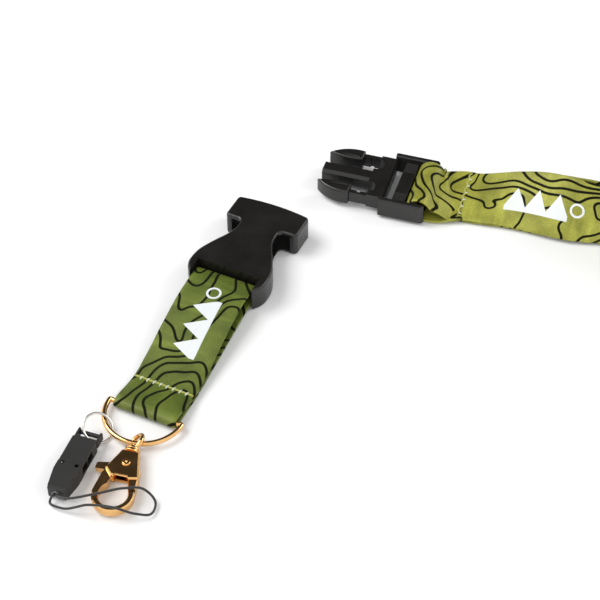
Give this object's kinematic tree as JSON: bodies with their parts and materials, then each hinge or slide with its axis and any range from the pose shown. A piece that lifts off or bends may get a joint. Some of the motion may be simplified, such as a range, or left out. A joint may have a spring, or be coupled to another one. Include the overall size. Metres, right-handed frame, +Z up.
{
  "type": "neck lanyard",
  "caption": "Neck lanyard in printed webbing with a side-release buckle; the detachable end carries a D-ring, a swivel lobster claw and a cord connector.",
  "frame": {"origin": "on the floor plane under the middle of the plug's face that the socket closes on", "axes": "+X along the buckle towards the neck loop, +Y to the plug's left as it points away from the loop, +Z up from the surface it lies on"},
  "size_m": [0.455, 0.2886, 0.0256],
  "materials": {
    "neck_webbing": "satin-woven polyester, printed contour lines",
    "short_webbing": "satin-woven polyester, printed contour lines",
    "thread": "polyester sewing thread",
    "buckle_plastic": "satin moulded acetal, black",
    "gold_plate": "polished, gold plated",
    "spring_steel": "bright drawn wire",
    "nickel_plate": "bright nickel plate",
    "connector_plastic": "matte moulded nylon, black",
    "crimp_metal": "dull metal sleeve",
    "cord_fibre": "braided nylon cord, black"
  },
  "bodies": {
    "neck_loop": {"neck_strap": "neck_webbing"},
    "strap_end": {"buckle_webbing": "neck_webbing", "neck_stitching": "thread"},
    "plug": {"male_frame": "buckle_plastic"},
    "latch_left": {"latch_arm_left": "buckle_plastic"},
    "latch_right": {"latch_arm_right": "buckle_plastic"},
    "socket": {"female_housing": "buckle_plastic"},
    "short_strap": {"short_strap": "short_webbing", "short_strap_stitching": "thread"},
    "d_ring": {"d_ring": "gold_plate"},
    "swivel_bail": {"swivel_bail": "gold_plate"},
    "claw": {"claw_body": "gold_plate", "swivel_pin": "gold_plate", "gate_rivet": "gold_plate", "gate_spring": "spring_steel"},
    "gate": {"gate_lever": "gold_plate"},
    "jump_ring": {"jump_ring": "nickel_plate"},
    "mini_socket": {"mini_socket": "connector_plastic"},
    "mini_plug": {"mini_plug": "connector_plastic", "cord_crimp": "crimp_metal"},
    "mini_latch_left": {"mini_latch_left": "connector_plastic"},
    "mini_latch_right": {"mini_latch_right": "connector_plastic"},
    "cord": {"cord_loop": "cord_fibre"}
  },
  "joints": [
    {"name": "buckle_insert", "type": "slide", "parent": "neck_loop", "child": "strap_end", "axis": [-1, 0, 0], "range_m": [0, 0.0272]},
    {"name": "plug_lift", "type": "hinge", "parent": "strap_end", "child": "plug", "pos_m": [0.0164, 0, 0.00525], "axis": [0, -1, 0], "range_deg": [-60, 0]},
    {"name": "latch_left_squeeze", "type": "hinge", "parent": "plug", "child": "latch_left", "pos_m": [-0.0054, -0.01145, 0.00525], "axis": [0, 0, 1], "range_deg": [-8, 0]},
    {"name": "latch_right_squeeze", "type": "hinge", "parent": "plug", "child": "latch_right", "pos_m": [-0.0054, 0.01145, 0.00525], "axis": [0, 0, 1], "range_deg": [0, 8]},
    {"name": "short_half_swing", "type": "hinge", "parent": "neck_loop", "child": "socket", "pos_m": [-0.01349, -0.02193, 0.00525], "axis": [0, 0, -1], "range_deg": [0, 82.1]},
    {"name": "strap_lift", "type": "hinge", "parent": "socket", "child": "short_strap", "pos_m": [-0.04296, -0.0747, 0.00525], "axis": [0.9905, -0.1374, 0], "range_deg": [-50, 0]},
    {"name": "ring_lift", "type": "hinge", "parent": "short_strap", "child": "d_ring", "pos_m": [-0.04927, -0.14207, 0.0025], "axis": [0.9905, -0.1374, 0], "range_deg": [-60, 0]},
    {"name": "bail_lift", "type": "hinge", "parent": "d_ring", "child": "swivel_bail", "pos_m": [-0.04729, -0.15667, 0.0025], "axis": [0.9885, 0.1513, 0], "range_deg": [-45, 0]},
    {"name": "claw_swivel", "type": "hinge", "parent": "swivel_bail", "child": "claw", "pos_m": [-0.04729, -0.15667, 0.00295], "axis": [0.0454, -0.999, 0], "continuous": true},
    {"name": "gate_open", "type": "hinge", "parent": "claw", "child": "gate", "pos_m": [-0.0465, -0.16754, 0.00275], "axis": [0, 0, -1], "range_deg": [-26, 0]},
    {"name": "jump_ring_lift", "type": "hinge", "parent": "d_ring", "child": "jump_ring", "pos_m": [-0.06067, -0.15164, 0.0025], "axis": [0.6441, -0.7649, 0], "range_deg": [-30, 0]},
    {"name": "connector_lift", "type": "hinge", "parent": "jump_ring", "child": "mini_socket", "pos_m": [-0.06392, -0.1581, 0.0031], "axis": [0.9995, -0.0332, 0], "range_deg": [-20, 0]},
    {"name": "connector_unplug", "type": "slide", "parent": "mini_socket", "child": "mini_plug", "axis": [0.0332, 0.9995, 0], "range_m": [-0.012, 0]},
    {"name": "mini_left_squeeze", "type": "hinge", "parent": "mini_plug", "child": "mini_latch_left", "pos_m": [-0.06718, -0.1748, 0.0031], "axis": [0, 0, 1], "range_deg": [-6, 0]},
    {"name": "mini_right_squeeze", "type": "hinge", "parent": "mini_plug", "child": "mini_latch_right", "pos_m": [-0.06178, -0.17498, 0.0031], "axis": [0, 0, 1], "range_deg": [0, 6]},
    {"name": "cord_lift", "type": "hinge", "parent": "mini_plug", "child": "cord", "pos_m": [-0.06487, -0.18668, 0.0031], "axis": [-0.2702, 0.9628, 0], "range_deg": [-40, 0], "deforming": ["cord_loop"]}
  ],
  "couplings": [
    {"joint": "latch_right_squeeze", "follows": "latch_left_squeeze", "ratio": -1},
    {"joint": "mini_right_squeeze", "follows": "mini_left_squeeze", "ratio": -1}
  ]
}
